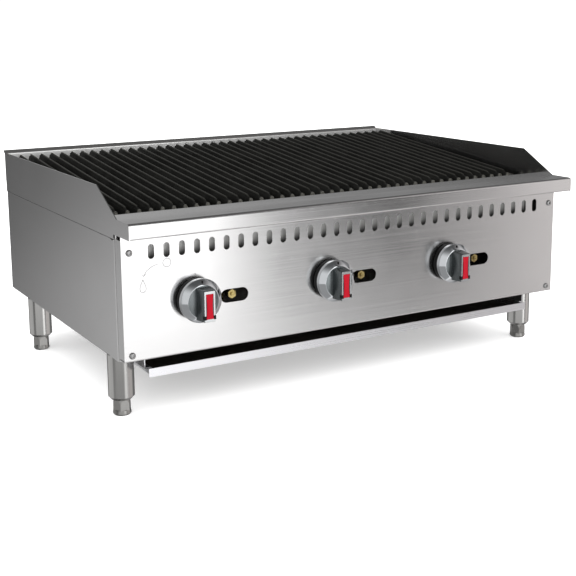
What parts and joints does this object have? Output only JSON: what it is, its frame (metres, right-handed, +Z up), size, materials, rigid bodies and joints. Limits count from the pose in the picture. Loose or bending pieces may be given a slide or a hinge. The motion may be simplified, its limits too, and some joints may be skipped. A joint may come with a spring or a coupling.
{
  "type": "gas charbroiler grill",
  "caption": "Countertop gas charbroiler with sloping cast-iron grates, low splashes, a front rail, control knobs, vented panel, slide-out drip tray and adjustable legs.",
  "frame": {"origin": "centre of the bounding box in X and Y, on the plane the feet stand on", "axes": "+Z up, controls facing -Y, +X to the cook's right"},
  "size_m": [0.917, 0.7, 0.3915],
  "materials": {
    "cabinet_steel": "brushed stainless steel, satin",
    "back_steel": "plain mill-finish steel sheet",
    "screw_steel": "plated machine screws",
    "liner_steel": "aluminised steel, smoked by heat",
    "grate_iron": "seasoned black cast iron",
    "radiant_steel": "heat-tinted stainless steel",
    "burner_steel": "stainless tube, straw and blue heat tint",
    "pipe_iron": "black iron gas pipe",
    "valve_brass": "machined brass",
    "stem_steel": "turned steel",
    "pilot_aluminium": "soft aluminium tube",
    "knob_chrome": "polished chrome on die-cast metal with a black skirt",
    "insert_red": "red moulded insert",
    "tray_steel": "brushed stainless steel",
    "leg_steel": "satin stainless tube",
    "foot_steel": "turned stainless steel"
  },
  "bodies": {
    "cabinet": {"base_frame": "back_steel", "left_side_panel": "cabinet_steel", "right_side_panel": "cabinet_steel", "back_panel": "back_steel", "front_panel": "cabinet_steel", "front_panel_screws": "screw_steel", "front_rail": "cabinet_steel", "left_splash": "cabinet_steel", "right_splash": "cabinet_steel", "back_splash": "cabinet_steel", "left_liner": "liner_steel", "right_liner": "liner_steel", "front_liner": "liner_steel", "rear_liner": "liner_steel", "grate_rests": "liner_steel", "grease_trough": "liner_steel", "burner_saddle": "liner_steel", "gas_manifold": "pipe_iron", "gas_inlet_pipe": "pipe_iron", "orifice_hoods": "valve_brass", "pilot_valves": "valve_brass", "pilot_burners": "pilot_aluminium", "tray_hangers": "tray_steel", "radiant_1": "radiant_steel", "burner_1": "burner_steel", "valve_body_1": "valve_brass", "radiant_2": "radiant_steel", "burner_2": "burner_steel", "valve_body_2": "valve_brass", "radiant_3": "radiant_steel", "burner_3": "burner_steel", "valve_body_3": "valve_brass", "leg_front_left": "leg_steel", "leg_front_right": "leg_steel", "leg_back_left": "leg_steel", "leg_back_right": "leg_steel"},
    "knob_1_turning": {"knob_1": "knob_chrome", "knob_insert_1": "insert_red", "valve_stem_1": "stem_steel"},
    "knob_2_turning": {"knob_2": "knob_chrome", "knob_insert_2": "insert_red", "valve_stem_2": "stem_steel"},
    "knob_3_turning": {"knob_3": "knob_chrome", "knob_insert_3": "insert_red", "valve_stem_3": "stem_steel"},
    "shutter_1": {"air_shutter_1": "burner_steel"},
    "shutter_2": {"air_shutter_2": "burner_steel"},
    "shutter_3": {"air_shutter_3": "burner_steel"},
    "tray": {"drip_tray": "tray_steel"},
    "foot_front_left_body": {"foot_front_left": "foot_steel"},
    "foot_front_right_body": {"foot_front_right": "foot_steel"},
    "foot_back_left_body": {"foot_back_left": "foot_steel"},
    "foot_back_right_body": {"foot_back_right": "foot_steel"},
    "grate_1_lift": {"grate_1": "grate_iron"},
    "grate_2_lift": {"grate_2": "grate_iron"},
    "grate_3_lift": {"grate_3": "grate_iron"},
    "grate_4_lift": {"grate_4": "grate_iron"},
    "grate_5_lift": {"grate_5": "grate_iron"},
    "grate_6_lift": {"grate_6": "grate_iron"},
    "grate_7_lift": {"grate_7": "grate_iron"}
  },
  "joints": [
    {"name": "knob_1_turn", "type": "hinge", "parent": "cabinet", "child": "knob_1_turning", "pos_m": [-0.328, -0.298, 0.2], "axis": [0, -1, 0], "range_deg": [0, 90]},
    {"name": "knob_2_turn", "type": "hinge", "parent": "cabinet", "child": "knob_2_turning", "pos_m": [-0.067, -0.298, 0.2], "axis": [0, -1, 0], "range_deg": [0, 90]},
    {"name": "knob_3_turn", "type": "hinge", "parent": "cabinet", "child": "knob_3_turning", "pos_m": [0.194, -0.298, 0.2], "axis": [0, -1, 0], "range_deg": [0, 90]},
    {"name": "air_shutter_1_turn", "type": "hinge", "parent": "cabinet", "child": "shutter_1", "pos_m": [-0.328, -0.202, 0.2], "axis": [0, 1, 0], "range_deg": [0, 60]},
    {"name": "air_shutter_2_turn", "type": "hinge", "parent": "cabinet", "child": "shutter_2", "pos_m": [-0.067, -0.202, 0.2], "axis": [0, 1, 0], "range_deg": [0, 60]},
    {"name": "air_shutter_3_turn", "type": "hinge", "parent": "cabinet", "child": "shutter_3", "pos_m": [0.194, -0.202, 0.2], "axis": [0, 1, 0], "range_deg": [0, 60]},
    {"name": "drip_tray_slide", "type": "slide", "parent": "cabinet", "child": "tray", "axis": [0, -1, 0], "range_m": [0, 0.5]},
    {"name": "foot_front_left_adjust", "type": "slide", "parent": "cabinet", "child": "foot_front_left_body", "axis": [0, 0, -1], "range_m": [0, 0.025]},
    {"name": "foot_front_right_adjust", "type": "slide", "parent": "cabinet", "child": "foot_front_right_body", "axis": [0, 0, -1], "range_m": [0, 0.025]},
    {"name": "foot_back_left_adjust", "type": "slide", "parent": "cabinet", "child": "foot_back_left_body", "axis": [0, 0, -1], "range_m": [0, 0.025]},
    {"name": "foot_back_right_adjust", "type": "slide", "parent": "cabinet", "child": "foot_back_right_body", "axis": [0, 0, -1], "range_m": [0, 0.025]},
    {"name": "grate_1_lift_off", "type": "slide", "parent": "cabinet", "child": "grate_1_lift", "axis": [0, 0, 1], "range_m": [0, 0.12]},
    {"name": "grate_2_lift_off", "type": "slide", "parent": "cabinet", "child": "grate_2_lift", "axis": [0, 0, 1], "range_m": [0, 0.12]},
    {"name": "grate_3_lift_off", "type": "slide", "parent": "cabinet", "child": "grate_3_lift", "axis": [0, 0, 1], "range_m": [0, 0.12]},
    {"name": "grate_4_lift_off", "type": "slide", "parent": "cabinet", "child": "grate_4_lift", "axis": [0, 0, 1], "range_m": [0, 0.12]},
    {"name": "grate_5_lift_off", "type": "slide", "parent": "cabinet", "child": "grate_5_lift", "axis": [0, 0, 1], "range_m": [0, 0.12]},
    {"name": "grate_6_lift_off", "type": "slide", "parent": "cabinet", "child": "grate_6_lift", "axis": [0, 0, 1], "range_m": [0, 0.12]},
    {"name": "grate_7_lift_off", "type": "slide", "parent": "cabinet", "child": "grate_7_lift", "axis": [0, 0, 1], "range_m": [0, 0.12]}
  ]
}
